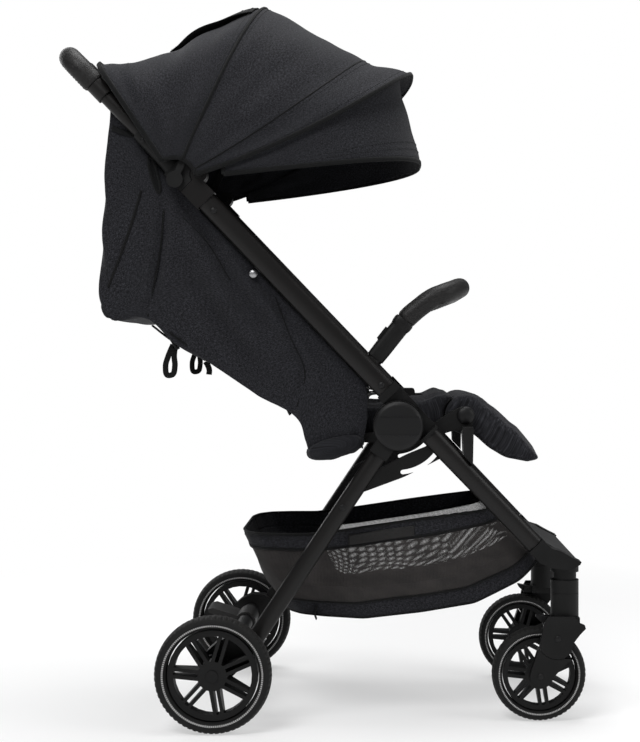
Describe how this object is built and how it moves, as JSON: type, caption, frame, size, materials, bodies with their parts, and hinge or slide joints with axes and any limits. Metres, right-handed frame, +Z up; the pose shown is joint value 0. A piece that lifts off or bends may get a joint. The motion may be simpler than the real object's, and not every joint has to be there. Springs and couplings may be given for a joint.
{
  "type": "compact stroller",
  "caption": "Compact folding pushchair with a hooded cloth seat, arm bar, mesh basket, swivelling front wheels and a foot brake.",
  "frame": {"origin": "centre of the bounding box at floor level, where the tyres touch", "axes": "+X forwards, where the child's feet point, +Y to the child's left, +Z up"},
  "size_m": [0.7659, 0.517, 1.0604],
  "materials": {
    "black_metal": "satin black paint",
    "black_plastic": "fine moulded grain",
    "button_grey": "smooth release buttons",
    "fabric": "woven charcoal melange",
    "fabric_pad": "quilted charcoal melange",
    "gloss_black": "polished dome rivets and caps",
    "grey_plastic": "smooth moulding",
    "leather_trim": "grained cover with a piped edge",
    "leatherette": "stitched grained cover",
    "mesh_fabric": "cloth band over open mesh",
    "satin_frame": "satin powder coat, dark brown grey",
    "steel": "turned pins",
    "tyre": "foamed rubber with a fine tread"
  },
  "bodies": {
    "rear_frame": {"basket": "mesh_fabric", "fold_stay_left": "black_metal", "fold_stay_right": "black_metal", "hub_cap_left": "gloss_black", "hub_cap_right": "gloss_black", "rear_axle": "black_plastic", "rear_hub_left": "black_plastic", "rear_hub_right": "black_plastic", "rear_leg_left": "satin_frame", "rear_leg_right": "satin_frame"},
    "upper_frame": {"seat_sling": "fabric", "upper_hub_left": "black_plastic", "upper_hub_right": "black_plastic", "upper_tube_left": "satin_frame", "upper_tube_right": "satin_frame"},
    "front_frame": {"foot_plate": "grey_plastic", "front_casting_left": "black_plastic", "front_casting_right": "black_plastic", "front_hub_left": "black_plastic", "front_hub_right": "black_plastic", "front_leg_left": "satin_frame", "front_leg_right": "satin_frame", "harness_buckle": "black_plastic", "seat_base": "black_plastic", "seat_pad": "fabric_pad"},
    "handle": {"handle_bar": "satin_frame", "handle_grip_left": "leatherette", "handle_grip_right": "leatherette", "trigger_housing": "black_plastic", "upper_knuckle_left": "black_plastic", "upper_knuckle_right": "black_plastic"},
    "canopy_main": {"canopy_main_bow": "black_plastic", "canopy_rear_panel": "fabric"},
    "canopy_front": {"canopy_front_panel": "fabric"},
    "canopy_visor": {"canopy_visor": "fabric"},
    "fold_trigger": {"fold_trigger": "gloss_black"},
    "backrest": {"backrest_pad": "fabric_pad"},
    "arm_bar": {"arm_bar": "black_plastic", "arm_grip": "leatherette"},
    "calf_rest": {"calf_rest": "leather_trim"},
    "buckle_button": {"buckle_button": "button_grey"},
    "brake_pedal": {"brake_pedal": "grey_plastic"},
    "arm_button_left": {"arm_button_left": "gloss_black"},
    "brake_pin_left": {"brake_pin_left": "steel"},
    "rear_wheel_left": {"rear_rim_left": "black_plastic", "rear_tyre_left": "tyre"},
    "caster_left": {"caster_fork_left": "black_plastic"},
    "swing_arm_left": {"swing_arm_left": "black_plastic"},
    "swivel_lock_left": {"swivel_lock_left": "gloss_black"},
    "front_wheel_left": {"front_rim_left": "black_plastic", "front_tyre_left": "tyre"},
    "arm_button_right": {"arm_button_right": "gloss_black"},
    "brake_pin_right": {"brake_pin_right": "steel"},
    "rear_wheel_right": {"rear_rim_right": "black_plastic", "rear_tyre_right": "tyre"},
    "caster_right": {"caster_fork_right": "black_plastic"},
    "swing_arm_right": {"swing_arm_right": "black_plastic"},
    "swivel_lock_right": {"swivel_lock_right": "gloss_black"},
    "front_wheel_right": {"front_rim_right": "black_plastic", "front_tyre_right": "tyre"}
  },
  "joints": [
    {"name": "fold", "type": "hinge", "parent": "rear_frame", "child": "upper_frame", "pos_m": [0.1096, 0, 0.431], "axis": [0, 1, 0], "range_deg": [-90, 0], "deforming": ["seat_sling", "basket", "seat_pad", "canopy_main_bow"]},
    {"name": "front_leg_fold", "type": "hinge", "parent": "rear_frame", "child": "front_frame", "pos_m": [0.1096, 0, 0.431], "axis": [0, 1, 0], "range_deg": [0, 51]},
    {"name": "handle_fold", "type": "hinge", "parent": "upper_frame", "child": "handle", "pos_m": [-0.17473, 0, 0.78905], "axis": [0, 1, 0], "range_deg": [0, 170]},
    {"name": "hood", "type": "hinge", "parent": "handle", "child": "canopy_main", "pos_m": [-0.20808, 0, 0.78124], "axis": [0, 1, 0], "range_deg": [-38, 0], "deforming": ["canopy_rear_panel"]},
    {"name": "hood_front", "type": "hinge", "parent": "canopy_main", "child": "canopy_front", "pos_m": [-0.20808, 0, 0.78124], "axis": [0, 1, 0], "range_deg": [-35.6, 0], "deforming": ["canopy_front_panel"]},
    {"name": "hood_visor", "type": "hinge", "parent": "canopy_front", "child": "canopy_visor", "pos_m": [-0.20808, 0, 0.78124], "axis": [0, 1, 0], "range_deg": [-17.2, 0], "deforming": ["canopy_visor"]},
    {"name": "recline", "type": "hinge", "parent": "upper_frame", "child": "backrest", "pos_m": [-0.03726, 0, 0.44597], "axis": [0, 1, 0], "range_deg": [0, 33]},
    {"name": "calf_rest", "type": "hinge", "parent": "front_frame", "child": "calf_rest", "pos_m": [0.2076, 0, 0.444], "axis": [0, 1, 0], "range_deg": [-32, 30]},
    {"name": "arm_bar_slide", "type": "slide", "parent": "upper_frame", "child": "arm_bar", "axis": [0.6198, 0, 0.7848], "range_m": [0, 0.04]},
    {"name": "fold_trigger", "type": "slide", "parent": "handle", "child": "fold_trigger", "axis": [0.6909, 0, -0.723], "range_m": [0, 0.003], "stiffness_N_per_m": 600, "springref_m": -0.003},
    {"name": "buckle_button", "type": "slide", "parent": "front_frame", "child": "buckle_button", "axis": [0, 0, -1], "range_m": [0, 0.0025], "stiffness_N_per_m": 500, "springref_m": -0.002},
    {"name": "brake_pedal", "type": "hinge", "parent": "rear_frame", "child": "brake_pedal", "pos_m": [-0.13105, 0.105, 0.10472], "axis": [0, 1, 0], "range_deg": [-25, 0]},
    {"name": "brake_pin_left", "type": "slide", "parent": "rear_frame", "child": "brake_pin_left", "axis": [0, 1, 0], "range_m": [0, 0.005]},
    {"name": "arm_button_left", "type": "slide", "parent": "arm_bar", "child": "arm_button_left", "axis": [0.7848, 0, -0.6198], "range_m": [0, 0.003], "stiffness_N_per_m": 600, "springref_m": -0.002},
    {"name": "rear_wheel_left", "type": "hinge", "parent": "rear_frame", "child": "rear_wheel_left", "pos_m": [-0.15105, 0.24, 0.08272], "axis": [0, 1, 0], "continuous": true},
    {"name": "caster_left", "type": "hinge", "parent": "front_frame", "child": "caster_left", "pos_m": [0.3526, 0.156, 0.186], "axis": [0, 0, 1], "continuous": true},
    {"name": "swing_left", "type": "hinge", "parent": "caster_left", "child": "swing_arm_left", "pos_m": [0.3398, 0.156, 0.123], "axis": [0, 1, 0], "range_deg": [0, 8], "stiffness_Nm_per_rad": 20, "springref_deg": -8.59},
    {"name": "swivel_lock_left", "type": "hinge", "parent": "caster_left", "child": "swivel_lock_left", "pos_m": [0.3261, 0.156, 0.1462], "axis": [0, 1, 0], "range_deg": [0, 25]},
    {"name": "front_wheel_left", "type": "hinge", "parent": "swing_arm_left", "child": "front_wheel_left", "pos_m": [0.3146, 0.156, 0.06827], "axis": [0, 1, 0], "continuous": true},
    {"name": "brake_pin_right", "type": "slide", "parent": "rear_frame", "child": "brake_pin_right", "axis": [0, -1, 0], "range_m": [0, 0.005]},
    {"name": "arm_button_right", "type": "slide", "parent": "arm_bar", "child": "arm_button_right", "axis": [0.7848, 0, -0.6198], "range_m": [0, 0.003], "stiffness_N_per_m": 600, "springref_m": -0.002},
    {"name": "rear_wheel_right", "type": "hinge", "parent": "rear_frame", "child": "rear_wheel_right", "pos_m": [-0.15105, -0.24, 0.08272], "axis": [0, 1, 0], "continuous": true},
    {"name": "caster_right", "type": "hinge", "parent": "front_frame", "child": "caster_right", "pos_m": [0.3526, -0.156, 0.186], "axis": [0, 0, 1], "continuous": true},
    {"name": "swing_right", "type": "hinge", "parent": "caster_right", "child": "swing_arm_right", "pos_m": [0.3398, -0.156, 0.123], "axis": [0, 1, 0], "range_deg": [0, 8], "stiffness_Nm_per_rad": 20, "springref_deg": -8.59},
    {"name": "swivel_lock_right", "type": "hinge", "parent": "caster_right", "child": "swivel_lock_right", "pos_m": [0.3261, -0.156, 0.1462], "axis": [0, 1, 0], "range_deg": [0, 25]},
    {"name": "front_wheel_right", "type": "hinge", "parent": "swing_arm_right", "child": "front_wheel_right", "pos_m": [0.3146, -0.156, 0.06827], "axis": [0, 1, 0], "continuous": true}
  ],
  "couplings": [
    {"joint": "front_leg_fold", "follows": "fold", "ratio": -0.56667},
    {"joint": "handle_fold", "follows": "fold", "ratio": -1.8889},
    {"joint": "hood_front", "follows": "hood", "ratio": 0.93684},
    {"joint": "hood_visor", "follows": "hood", "ratio": 0.45263},
    {"joint": "brake_pin_left", "follows": "brake_pedal", "m_per_rad": -0.011459},
    {"joint": "brake_pin_right", "follows": "brake_pedal", "m_per_rad": -0.011459}
  ]
}
